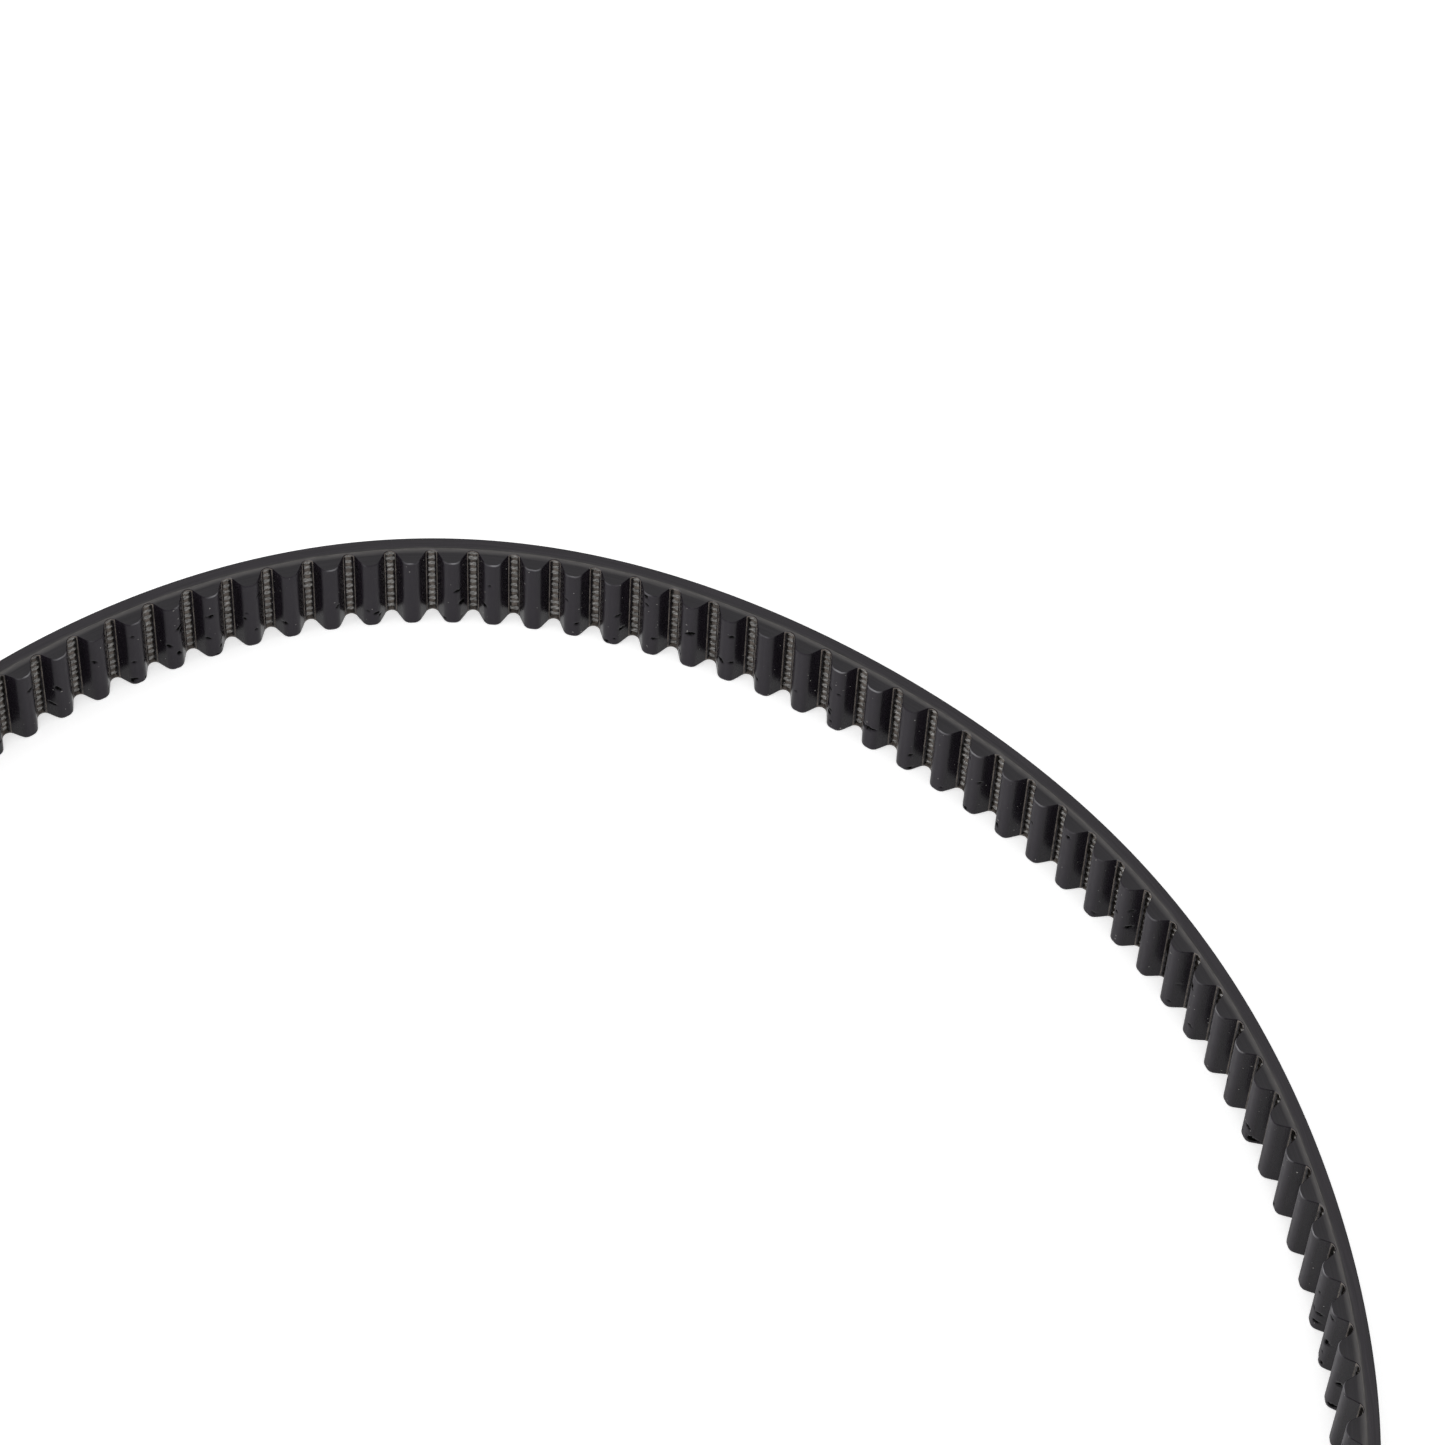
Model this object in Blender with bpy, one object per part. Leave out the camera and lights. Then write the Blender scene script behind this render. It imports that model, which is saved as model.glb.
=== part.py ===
"""Endless toothed timing belt, standing on its cut edge in its relaxed, slightly oval shape.

The belt is a moulded polyurethane back, a ply of wound tension cords and a moulded tooth layer.
The loop is drawn on its pitch line, the middle of the cords, with one straight facet for each tooth.
The three layers are parallels of that line. They are cut at the middle of chosen grooves into
sections that hinge about upright axes on the pitch line, which is where a real belt bends.
Every offset is measured from the pitch line, and is positive towards the back of the belt.
"""

import math

import bmesh
import bpy
from mathutils import Matrix, Vector

MM = 0.001

# Driving dimensions of the belt
PITCH = 8.0 * MM
TEETH = 120
WIDTH = 20.0 * MM
THICKNESS = 5.9 * MM
TOOTH_HEIGHT = 3.2 * MM
TIP_WIDTH = 2.5 * MM
FLANK_ANGLE = math.radians(31)
TIP_RADIUS = 1.6 * MM
ROOT_RADIUS = 1.4 * MM

# Layers: what lies between the pitch line and the groove floor, and the room left between layers
PITCH_TO_LAND = 0.85 * MM
LAND_SKIN = 0.2 * MM
CORD_DIAMETER = 0.8 * MM
CORD_COUNT = 10
CORD_SPACING = 1.95 * MM
CORD_WEB = 0.3 * MM
BACK_INNER = PITCH_TO_LAND - LAND_SKIN
BACK_OUTER = THICKNESS - TOOTH_HEIGHT - PITCH_TO_LAND
SKIN_OUTER = -BACK_INNER
LAND = -PITCH_TO_LAND

# Slot in the floor of each groove that bares the cords, with a rail of land left at both cut edges
SLOT_WIDTH = 1.8 * MM
SLOT_DEPTH = 1.6 * MM
EDGE_RAIL = 0.8 * MM

# Relaxed shape: how far the loop's curvature swings about its mean, for each wave around the loop
SHAPE_WAVES = {2: 0.180, 4: -0.057, 6: -0.176}

# Sections: a cut every six teeth. Grooves are counted from the one at the loop's +X end.
# Bending the loop to another oval leaves its four diagonals unbent, so three of those stay whole
# and the fourth is the seam that closes the loop.
SECTION_TEETH = 6
WHOLE_DIAGONALS = (15, 45, 75)
SEAM_GROOVE = 105
ROOT_SECTION = 9

# Clearance at each section's end: the back closes up when the loop straightens there
END_CLEARANCE = 0.2 * MM
BACK_END_CLEARANCE = 0.4 * MM

STEP_ANGLE = 2 * math.pi / TEETH
TURN_STEPS = {"root": 2, "tip": 2}
CORD_STATION_TEETH = 2
WELD_DISTANCE = 0.002 * MM


def facet_heading(facet):
    """Heading of a facet, from the curvature waves summed up to its middle."""
    place = (facet + 0.5) * STEP_ANGLE
    swing = sum(size / wave * math.sin(wave * place) for wave, size in SHAPE_WAVES.items())
    return math.pi / 2 + place + swing


def direction(heading):
    return Vector((math.cos(heading), math.sin(heading)))


def along(facet):
    return direction(facet_heading(facet))


def outward(facet):
    return direction(facet_heading(facet) - math.pi / 2)


def pitch_points():
    """Groove middles on the pitch line, round the whole loop, centred on the origin."""
    points = [Vector((0.0, 0.0))]
    for facet in range(TEETH - 1):
        points.append(points[-1] + along(facet) * PITCH)
    centre = sum(points, Vector((0.0, 0.0))) / TEETH
    return [point - centre for point in points]


GROOVES = pitch_points()


def corner(groove, offset):
    """Where the parallels of the two facets that meet at a groove cross."""
    before = facet_heading(groove - 1)
    after = facet_heading(groove)
    reach = offset / math.cos((after - before) / 2)
    return GROOVES[groove % TEETH] + direction((before + after) / 2 - math.pi / 2) * reach


def facet_point(facet, run, offset):
    """A point on a facet, run along from its middle and offset from the pitch line."""
    middle = (GROOVES[facet % TEETH] + GROOVES[(facet + 1) % TEETH]) / 2
    return middle + along(facet) * run + outward(facet) * offset


def section_line(first, last, offset, clearance):
    """One parallel of a section, drawn back from the cut at both ends."""
    line = [corner(groove, offset) for groove in range(first, last + 1)]
    line[0] += along(first) * clearance
    line[-1] -= along(last - 1) * clearance
    return line


def rounded(before, point, after, radius, steps):
    """Points of an arc that rounds off the corner at point."""
    back = (before - point).normalized()
    ahead = (after - point).normalized()
    half_angle = back.angle(ahead) / 2
    centre = point + (back + ahead).normalized() * (radius / math.sin(half_angle))
    start = point + back * (radius / math.tan(half_angle)) - centre
    end = point + ahead * (radius / math.tan(half_angle)) - centre
    sweep = start.angle_signed(end)
    return [centre + Matrix.Rotation(-sweep * step / steps, 2) @ start for step in range(steps + 1)]


def tooth_profile():
    """Outline of one tooth as (run, height above the land), from one root to the other."""
    tip = TIP_WIDTH / 2
    root = tip + TOOTH_HEIGHT * math.tan(FLANK_ANGLE)
    sharp = [(-PITCH / 2, 0), (-root, 0), (-tip, TOOTH_HEIGHT), (tip, TOOTH_HEIGHT), (root, 0), (PITCH / 2, 0)]
    sharp = [Vector(point) for point in sharp]
    profile = []
    for index, (radius, turn) in enumerate(
        [(ROOT_RADIUS, "root"), (TIP_RADIUS, "tip"), (TIP_RADIUS, "tip"), (ROOT_RADIUS, "root")], start=1
    ):
        profile += rounded(sharp[index - 1], sharp[index], sharp[index + 1], radius, TURN_STEPS[turn])
    return profile


TOOTH = tooth_profile()


def toothed_line(first, last, clearance):
    """The toothed face of a section: the land at each groove and a tooth on each facet."""
    land = section_line(first, last, LAND, clearance)
    line = [land[0]]
    for facet in range(first, last):
        line += [facet_point(facet, point.x, LAND - point.y) for point in TOOTH]
        line.append(land[facet - first + 1])
    # At both cuts the root curve stops short, so its outermost point gives way to the cut's corner
    del line[1], line[-2]
    return line


def upright_mesh(name, outline):
    """A closed outline on the floor, raised to the belt's width and made a welded mesh."""
    curve = bpy.data.curves.new(name, "CURVE")
    curve.dimensions = "2D"
    curve.fill_mode = "BOTH"
    curve.extrude = WIDTH / 2
    spline = curve.splines.new("POLY")
    spline.points.add(len(outline) - 1)
    for point, place in zip(spline.points, outline):
        point.co = (place.x, place.y, 0.0, 1.0)
    spline.use_cyclic_u = True
    return welded_mesh(name, curve, Matrix.Translation((0, 0, WIDTH / 2)))


def welded_mesh(name, curve, placement):
    """Turn a curve into a mesh in its place, with its caps joined to its walls."""
    source = bpy.data.objects.new(name + "_curve", curve)
    bpy.context.scene.collection.objects.link(source)
    evaluated = source.evaluated_get(bpy.context.evaluated_depsgraph_get())
    mesh = bpy.data.meshes.new_from_object(evaluated)
    bpy.data.objects.remove(source)
    bpy.data.curves.remove(curve)
    shape = bmesh.new()
    shape.from_mesh(mesh)
    bmesh.ops.remove_doubles(shape, verts=shape.verts, dist=WELD_DISTANCE)
    bmesh.ops.recalc_face_normals(shape, faces=shape.faces)
    shape.to_mesh(mesh)
    shape.free()
    mesh.name = name
    mesh.transform(placement)
    return mesh


def back_mesh(name, first, last):
    """The smooth back of a section, outside the cords."""
    outer = section_line(first, last, BACK_OUTER, BACK_END_CLEARANCE)
    inner = section_line(first, last, BACK_INNER, BACK_END_CLEARANCE)
    return upright_mesh(name, outer + inner[::-1])


def teeth_mesh(name, first, last):
    """The tooth layer of a section: a thin land with one tooth on each facet."""
    outer = section_line(first, last, SKIN_OUTER, END_CLEARANCE)
    inner = toothed_line(first, last, END_CLEARANCE)
    return upright_mesh(name, outer + inner[::-1])


def cord_section():
    """Cross-section of the cord ply: a flat web on the back side and a ridge for each cord."""
    radius = CORD_DIAMETER / 2
    crest = radius * math.tan(math.pi / 8)
    curve = bpy.data.curves.new("cord_section", "CURVE")
    curve.dimensions = "2D"
    outline = []
    for cord in range(CORD_COUNT):
        middle = (cord - (CORD_COUNT - 1) / 2) * CORD_SPACING
        outline.append((middle - CORD_SPACING / 2, CORD_WEB - radius))
        outline.append((middle - crest, radius))
        outline.append((middle + crest, radius))
    half_width = CORD_COUNT * CORD_SPACING / 2
    outline += [(half_width, CORD_WEB - radius), (half_width, -radius), (-half_width, -radius)]
    spline = curve.splines.new("POLY")
    spline.points.add(len(outline) - 1)
    for point, (across, rise) in zip(spline.points, outline):
        point.co = (-rise, across, 0.0, 1.0)
    spline.use_cyclic_u = True
    return bpy.data.objects.new("cord_section", curve)


def cords_mesh(name, first, last):
    """The stretch of every cord turn that lies in a section, held together by its web."""
    station_angle = STEP_ANGLE * CORD_STATION_TEETH
    chord_dip = PITCH * CORD_STATION_TEETH / 2 * math.tan(station_angle / 4)
    route = section_line(first, last, chord_dip / 2, END_CLEARANCE)[::CORD_STATION_TEETH]
    curve = bpy.data.curves.new(name, "CURVE")
    curve.dimensions = "3D"
    curve.twist_mode = "Z_UP"
    curve.bevel_mode = "OBJECT"
    curve.bevel_object = cord_section()
    curve.use_fill_caps = True
    spline = curve.splines.new("POLY")
    spline.points.add(len(route) - 1)
    for point, place in zip(spline.points, route):
        point.co = (place.x, place.y, 0.0, 1.0)
    section = curve.bevel_object
    mesh = welded_mesh(name, curve, Matrix.Translation((0, 0, WIDTH / 2)))
    bpy.data.objects.remove(section)
    return mesh


def slot_cutter(name, first, last, collection):
    """Boxes that open the groove floors of a section down to the cords."""
    shape = bmesh.new()
    for groove in range(first, last + 1):
        middle = corner(groove, LAND)
        heading = (facet_heading(groove - 1) + facet_heading(groove)) / 2
        place = Matrix.Translation((middle.x, middle.y, WIDTH / 2)) @ Matrix.Rotation(heading, 4, "Z")
        size = Matrix.Diagonal((SLOT_WIDTH, SLOT_DEPTH, WIDTH - 2 * EDGE_RAIL, 1.0))
        bmesh.ops.create_cube(shape, size=1.0, matrix=place @ size)
    mesh = bpy.data.meshes.new(name)
    shape.to_mesh(mesh)
    shape.free()
    cutter = bpy.data.objects.new(name, mesh)
    cutter.hide_render = True
    cutter.display_type = "WIRE"
    collection.objects.link(cutter)
    return cutter


def moulded(name, colour, roughness):
    material = bpy.data.materials.new(name)
    material.use_nodes = True
    shader = material.node_tree.nodes["Principled BSDF"]
    shader.inputs["Base Color"].default_value = (*colour, 1.0)
    shader.inputs["Roughness"].default_value = roughness
    shader.inputs["Metallic"].default_value = 0.0
    return material


def place_piece(name, mesh, pivot, material, collection):
    """Put a mesh under its section's pivot, with its origin on the hinge axis."""
    mesh.transform(Matrix.Translation(-pivot.location))
    mesh.materials.append(material)
    piece = bpy.data.objects.new(name, mesh)
    piece.parent = pivot
    collection.objects.link(piece)
    return piece


def section_cuts():
    """Grooves where the loop is cut, from the seam once round and back to it."""
    grooves = range(SEAM_GROOVE, SEAM_GROOVE + TEETH + 1, SECTION_TEETH)
    return [groove for groove in grooves if groove % TEETH not in WHOLE_DIAGONALS]


def hinge_groove(number, cuts):
    """The cut on a section's side towards the root section; the root turns about the loop's middle."""
    if number == ROOT_SECTION:
        return None
    return cuts[number] if number < ROOT_SECTION else cuts[number - 1]


def new_collection(name):
    collection = bpy.data.collections.new(name)
    bpy.context.scene.collection.children.link(collection)
    return collection


def build():
    for item in list(bpy.data.objects):
        bpy.data.objects.remove(item, do_unlink=True)
    belt = new_collection("timing_belt")
    cutters = new_collection("cutters")
    back_finish = moulded("black_polyurethane_back", (0.035, 0.035, 0.037), 0.55)
    tooth_finish = moulded("black_polyurethane_teeth", (0.032, 0.031, 0.033), 0.45)
    cord_finish = moulded("twisted_fibre_cord", (0.20, 0.175, 0.16), 0.75)

    cuts = section_cuts()
    for number, (first, last) in enumerate(zip(cuts, cuts[1:]), start=1):
        pivot = bpy.data.objects.new(f"hinge_{number:02d}", None)
        groove = hinge_groove(number, cuts)
        if groove is not None:
            pivot.location = corner(groove, 0.0).to_3d()
        belt.objects.link(pivot)

        back = back_mesh(f"back_{number:02d}", first, last)
        place_piece(f"back_{number:02d}", back, pivot, back_finish, belt)
        cords = cords_mesh(f"cords_{number:02d}", first, last)
        place_piece(f"cords_{number:02d}", cords, pivot, cord_finish, belt)
        teeth = teeth_mesh(f"teeth_{number:02d}", first, last)
        layer = place_piece(f"teeth_{number:02d}", teeth, pivot, tooth_finish, belt)
        slots = layer.modifiers.new("groove_slots", "BOOLEAN")
        slots.operation = "DIFFERENCE"
        slots.object = slot_cutter(f"slots_{number:02d}", first, last, cutters)


build()
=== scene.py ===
"""Looks of the endless timing belt: cast polyurethane over wound cords, which are bared in each groove.

The loop is drawn as in the solids: one straight facet for each tooth, on the pitch line. Offsets are
measured from that line and are positive towards the back. A station counts teeth round the loop, so
groove 7 is at station 7 and the middle of the tooth after it at station 7.5.
The belt is made in spans that reach from the middle of one section to the middle of the next, with
the hinge between two sections at the middle of each span.
"""

import math
import random
from collections import namedtuple

import bmesh
import bpy
from mathutils import Matrix, Vector, noise


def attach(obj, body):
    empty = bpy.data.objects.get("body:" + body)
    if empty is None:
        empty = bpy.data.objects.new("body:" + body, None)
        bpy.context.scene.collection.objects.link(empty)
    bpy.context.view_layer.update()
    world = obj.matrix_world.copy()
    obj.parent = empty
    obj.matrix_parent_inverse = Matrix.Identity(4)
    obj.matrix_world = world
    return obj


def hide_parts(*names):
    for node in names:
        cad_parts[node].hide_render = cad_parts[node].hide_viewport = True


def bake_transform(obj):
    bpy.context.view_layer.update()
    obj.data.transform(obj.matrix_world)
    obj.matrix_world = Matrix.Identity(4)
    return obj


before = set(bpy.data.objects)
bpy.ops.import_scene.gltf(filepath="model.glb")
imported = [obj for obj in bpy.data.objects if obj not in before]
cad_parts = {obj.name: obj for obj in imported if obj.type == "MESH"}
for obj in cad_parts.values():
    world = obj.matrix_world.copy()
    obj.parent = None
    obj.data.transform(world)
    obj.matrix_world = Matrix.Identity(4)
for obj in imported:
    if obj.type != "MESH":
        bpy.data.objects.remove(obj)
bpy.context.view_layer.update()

MM = 0.001

# The belt, as in the solids
PITCH = 8.0 * MM
TEETH = 120
WIDTH = 20.0 * MM
THICKNESS = 5.9 * MM
TOOTH_HEIGHT = 3.2 * MM
TIP_WIDTH = 2.5 * MM
FLANK_ANGLE = math.radians(31)
TIP_RADIUS = 1.6 * MM
ROOT_RADIUS = 1.4 * MM
PITCH_TO_LAND = 0.85 * MM
LAND = -PITCH_TO_LAND
TIP_LINE = LAND - TOOTH_HEIGHT
BACK_OUTER = THICKNESS - TOOTH_HEIGHT - PITCH_TO_LAND
STEP_ANGLE = 2 * math.pi / TEETH

# How far the loop's curvature swings about its mean, for each wave around the loop
SHAPE_WAVES = {2: 0.180, 4: -0.057, 6: -0.176}

# A cut every six teeth. Three of the loop's diagonals stay whole, and the fourth is the seam.
SECTION_TEETH = 6
WHOLE_DIAGONALS = (15, 45, 75)
SEAM_GROOVE = 105

# The cords and the slot that bares them, with the raised lips that the mould's ridge left beside it
CORD_RADIUS = 0.53 * MM
CORD_SINK = 0.18 * MM
CORD_LINE = LAND + CORD_SINK + CORD_RADIUS
CORD_LAY = 4.2 * MM
CORD_STRANDS = 3
STRAND_RELIEF = 0.24
CORD_COUNT = 10
CORD_SPACING = 1.95 * MM
CORD_SWAY = 0.40 * MM
CORD_LIFT = 0.16 * MM
CORD_SWELL = 0.30
CORD_SIDES = 15
SLOT_DEPTH = 0.55 * MM
SLOT_WALL = 0.72 * MM
LIP_PLACE = 1.03 * MM
LIP_HALF = 0.09 * MM
LIP_HEIGHT = 0.10 * MM
EDGE_RAIL = 0.42 * MM

# Columns of half a slot, from the top of its wall in towards its middle, as shares of SLOT_WALL
SLOT_SHARES = (1.0, 0.9, 0.45)

# The outermost turn, slit open where the belt was cut to width, shows as a line on both cut edges
EDGE_CORD_LINE = LAND + 0.24 * MM
EDGE_CORD_HALF_WIDTH = 0.24 * MM
EDGE_CORD_DEPTH = 0.20 * MM
EDGE_CORD_PROUD = 0.04 * MM
EDGE_CORD_FRAY = 0.25
EDGE_CORD_RISE = 0.6
EDGE_CORD_SIDES = 8

# The knife dragged pale dust out of that turn, along the foot of the teeth
DUST_LINE = LAND + 0.05 * MM

# The back and the teeth part on a line through the cords
PARTING = LAND + 0.72 * MM

# Rounding of the rim at the cut edges, which is larger where the tooth tips are scuffed
RIM = 0.10 * MM
TIP_RIM = 0.16 * MM

# The middle of the rim's quarter round lies this share of its size in from both faces
RIM_MIDDLE = 0.29

# Painted highlights along the rims fade out this far from the middle of a tip, and are this strong in
# the grooves
RIM_HIGHLIGHT_REACH = 1.8 * MM
GROOVE_RIM_HIGHLIGHT = 0.55

# Mesh steps
ROW_STEP = 0.28 * MM
TIP_STEPS = 6
FLANK_STEPS = 4
BACK_STEPS = 3
WELD_DISTANCE = 0.002 * MM
SHARP_ANGLE = math.radians(40)


def facet_heading(facet):
    """Heading of a facet, from the curvature waves summed up to its middle."""
    place = (facet + 0.5) * STEP_ANGLE
    swing = sum(size / wave * math.sin(wave * place) for wave, size in SHAPE_WAVES.items())
    return math.pi / 2 + place + swing


def direction(heading):
    return Vector((math.cos(heading), math.sin(heading)))


def along(facet):
    return direction(facet_heading(facet))


def outward(facet):
    return direction(facet_heading(facet) - math.pi / 2)


def pitch_points():
    """Groove middles on the pitch line, round the whole loop, centred on the origin."""
    points = [Vector((0.0, 0.0))]
    for facet in range(TEETH - 1):
        points.append(points[-1] + along(facet) * PITCH)
    centre = sum(points, Vector((0.0, 0.0))) / TEETH
    return [point - centre for point in points]


GROOVES = pitch_points()


def corner(groove, offset):
    """Where the parallels of the two facets that meet at a groove cross."""
    before = facet_heading(groove - 1)
    after = facet_heading(groove)
    reach = offset / math.cos((after - before) / 2)
    return GROOVES[groove % TEETH] + direction((before + after) / 2 - math.pi / 2) * reach


def facet_point(facet, run, offset):
    """A point on a facet, run along from its middle and offset from the pitch line."""
    middle = (GROOVES[facet % TEETH] + GROOVES[(facet + 1) % TEETH]) / 2
    return middle + along(facet) * run + outward(facet) * offset


def belt_point(station, offset):
    """A point on a smooth parallel of the pitch line, through the grooves and rounded between them."""
    facet = math.floor(station)
    share = station - facet
    bend = facet_heading(facet + 1) - facet_heading(facet)
    bulge = PITCH * bend / 2 * share * (1 - share)
    chord = corner(facet, offset).lerp(corner(facet + 1, offset), share)
    return chord + outward(facet) * bulge


# Outline of the teeth, in columns from the middle of one tooth to the middle of the next

Column = namedtuple("Column", "groove side distance rail slot lean part")
Row = namedtuple("Row", "level rim_share draw_in slot_share")


def rounded(before, point, after, radius, steps):
    """Points of an arc that rounds off the corner at point."""
    back = (before - point).normalized()
    ahead = (after - point).normalized()
    half_angle = back.angle(ahead) / 2
    centre = point + (back + ahead).normalized() * (radius / math.sin(half_angle))
    start = point + back * (radius / math.tan(half_angle)) - centre
    end = point + ahead * (radius / math.tan(half_angle)) - centre
    sweep = start.angle_signed(end)
    return [centre + Matrix.Rotation(-sweep * step / steps, 2) @ start for step in range(steps + 1)]


def root_sizes():
    """Where the groove's root curve starts and ends, as distances from the groove's middle."""
    foot = PITCH / 2 - TIP_WIDTH / 2 - TOOTH_HEIGHT * math.tan(FLANK_ANGLE)
    tangent = ROOT_RADIUS * math.tan((math.pi / 2 - FLANK_ANGLE) / 2)
    return foot - tangent, foot + tangent * math.sin(FLANK_ANGLE)


ROOT_START, ROOT_END = root_sizes()


def root_rise(distance):
    """Height of the moulded groove above the land, at a distance from the groove's middle."""
    reach = max(0.0, distance - ROOT_START)
    return ROOT_RADIUS - math.sqrt(ROOT_RADIUS**2 - reach**2)


def half_tooth():
    """Half a tooth and half a groove, as (distance from the groove's middle, height, part)."""
    tip = Vector((PITCH / 2 - TIP_WIDTH / 2, TOOTH_HEIGHT))
    foot = Vector((tip.x - TOOTH_HEIGHT * math.tan(FLANK_ANGLE), 0.0))
    middle = Vector((PITCH / 2, TOOTH_HEIGHT))
    turn = rounded(middle, tip, foot, TIP_RADIUS, TIP_STEPS)
    points = [(middle.x, middle.y, "tip"), ((middle.x + turn[0].x) / 2, middle.y, "tip")]
    points += [(point.x, point.y, "tip") for point in turn]
    root = Vector((ROOT_END, root_rise(ROOT_END)))
    for step in range(1, FLANK_STEPS + 1):
        point = turn[-1].lerp(root, step / FLANK_STEPS)
        points.append((point.x, point.y, "flank"))
    bend = (ROOT_END + LIP_PLACE + LIP_HALF) / 2
    points.append((bend, root_rise(bend), "flank"))
    for distance in (LIP_PLACE + LIP_HALF, LIP_PLACE, LIP_PLACE - LIP_HALF):
        points.append((distance, root_rise(distance), "lip"))
    for share in SLOT_SHARES:
        points.append((SLOT_WALL * share, root_rise(SLOT_WALL * share), "slot"))
    return points


def slot_height(distance, height, part):
    """Height of a column where the slot is open: its lip is raised and its floor sunk."""
    if part == "lip" and abs(distance - LIP_PLACE) < WELD_DISTANCE:
        return height + LIP_HEIGHT
    if part == "slot" and distance < SLOT_WALL - WELD_DISTANCE:
        return -SLOT_DEPTH
    return height


def leaning(points, index):
    """Direction out of the material at a point of the half tooth, as (distance, height)."""
    before = points[max(index - 1, 0)]
    after = points[min(index + 1, len(points) - 1)]
    lean = Vector((after[1] - before[1], before[0] - after[0])).normalized()
    return lean if lean.y > 0 else -lean


def groove_columns():
    """Columns from the middle of one tooth, down into the groove and up to the next tooth."""
    points = half_tooth()
    near = []
    for index, (distance, height, part) in enumerate(points):
        sunk = slot_height(distance, height, part)
        lean = Vector((0.0, 1.0)) if index == 0 else leaning(points, index)
        near.append(Column(0, -1, distance, height, sunk, lean, part))
    middle = Column(0, 0, 0.0, 0.0, -SLOT_DEPTH, Vector((0.0, 1.0)), "slot")
    far = [column._replace(side=1) for column in reversed(near[1:])]
    return near + [middle] + far


GROOVE_COLUMNS = groove_columns()


def tooth_columns(first, last):
    """Columns of the toothed face from the middle of one tooth to the middle of another."""
    columns = []
    for groove in range(first + 1, last + 1):
        columns += [column._replace(groove=groove) for column in GROOVE_COLUMNS]
    return columns + [GROOVE_COLUMNS[0]._replace(groove=last + 1)]


def width_rows():
    """Rows across the belt's width: the rim's rounding, the edge rail, the slot's rows, and back again.

    A rim row lies up from the lower edge, or down from the upper one, by a share of the rim's size.
    """
    rounding = ((0.0, 1.0), (RIM_MIDDLE, RIM_MIDDLE), (1.0, 0.0))
    rim = [Row(0.0, share, draw_in, 0.0) for share, draw_in in rounding]
    lower = rim + [Row(EDGE_RAIL, 0.0, 0.0, 0.0)]
    slot_length = WIDTH - 2 * EDGE_RAIL - 2 * RIM
    steps = round(slot_length / ROW_STEP)
    levels = [EDGE_RAIL + RIM + slot_length * step / steps for step in range(steps + 1)]
    slots = [Row(level, 0.0, 0.0, 1.0) for level in levels]
    upper = [row._replace(level=WIDTH - row.level, rim_share=-row.rim_share) for row in reversed(lower)]
    return lower + slots + upper


ROWS = width_rows()

# Nicks: small torn pits on the tips and flanks of the teeth.
# A run is measured from the middle of the tooth. A height is a share of one of the tops, which are
# shares of the width, so there are a few more nicks near the lower edge. A tilt is in radians.
Nick = namedtuple("Nick", "run height size depth stretch tilt")
NICK_SEED = 11
NICK_COUNT = 300
NICK_RUNS_MM = (0.4, 2.0)
NICK_TOPS = (0.95, 0.95, 0.35)
NICK_HEIGHTS = (0.03, 1.0)
NICK_SIZES_MM = (0.28, 0.70)
NICK_DEPTHS_MM = (0.15, 0.40)
NICK_STRETCHES = (1.0, 1.3, 1.8)
NICK_TILTS = (-1.2, 1.2)

# Ragged outline of the nicks: its strength, its cells in each millimetre, and its step between teeth
NICK_RAGGED = 0.55
NICK_CELLS = 1.9
NICK_STEP = 2.3

# How fast the painted shade in a nick turns black from its outline inwards, and how far in its faces get
# the black pit finish
NICK_SHADE_GAIN = 2.0
PIT_SHARE = 0.12

# One long slash, placed as in the photo
SLASHED_TOOTH = 38
SLASH = Nick(run=0.2 * MM, height=6.7 * MM, size=0.75 * MM, depth=0.80 * MM, stretch=2.2, tilt=0.0)


def scattered_nicks():
    """The nicks of each tooth that has any."""
    dice = random.Random(NICK_SEED)
    nicks = {}
    for _ in range(NICK_COUNT):
        facet = dice.randrange(TEETH)
        run = dice.choice((-1, 1)) * dice.uniform(*NICK_RUNS_MM) * MM
        height = dice.choice(NICK_TOPS) * dice.uniform(*NICK_HEIGHTS) * WIDTH
        size = dice.uniform(*NICK_SIZES_MM) * MM
        depth = dice.uniform(*NICK_DEPTHS_MM) * MM
        stretch = dice.choice(NICK_STRETCHES)
        tilt = dice.uniform(*NICK_TILTS)
        nicks.setdefault(facet, []).append(Nick(run, height, size, depth, stretch, tilt))
    nicks.setdefault(SLASHED_TOOTH, []).append(SLASH)
    return nicks


NICKS = scattered_nicks()


def nick_share(facet, run, height):
    """How far into a nick a point of a tooth lies, from 0 to 1, and the depth there."""
    share = 0.0
    depth = 0.0
    for nick in NICKS.get(facet % TEETH, []):
        apart = Matrix.Rotation(nick.tilt, 2) @ Vector((run - nick.run, height - nick.height))
        cell = Vector((run / MM * NICK_CELLS, height / MM * NICK_CELLS, facet * NICK_STEP))
        away = math.hypot(apart.x / nick.stretch, apart.y) / nick.size + NICK_RAGGED * noise.noise(cell)
        if away < 1:
            inside = (1 - max(0.0, away) ** 2) ** 2
            # The share is the painted shade that blackens the nick
            share = max(share, min(1.0, inside * NICK_SHADE_GAIN))
            depth = max(depth, nick.depth * inside)
    return share, depth


# Ragged patches: stretches of a groove where the skin beside the cords tore wider, up to PATCH_SPREAD
# times. PATCH_SHARE of the grooves have one. A middle is a share of the width.
PATCH_SEED = 23
PATCH_SHARE = 0.55
PATCH_SPREAD = 1.40
UPPER_SHARE = 0.6
UPPER_MIDDLES = (0.75, 1.0)
OTHER_MIDDLES = (0.05, 0.75)
PATCH_REACHES_MM = (1.4, 4.2)

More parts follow.
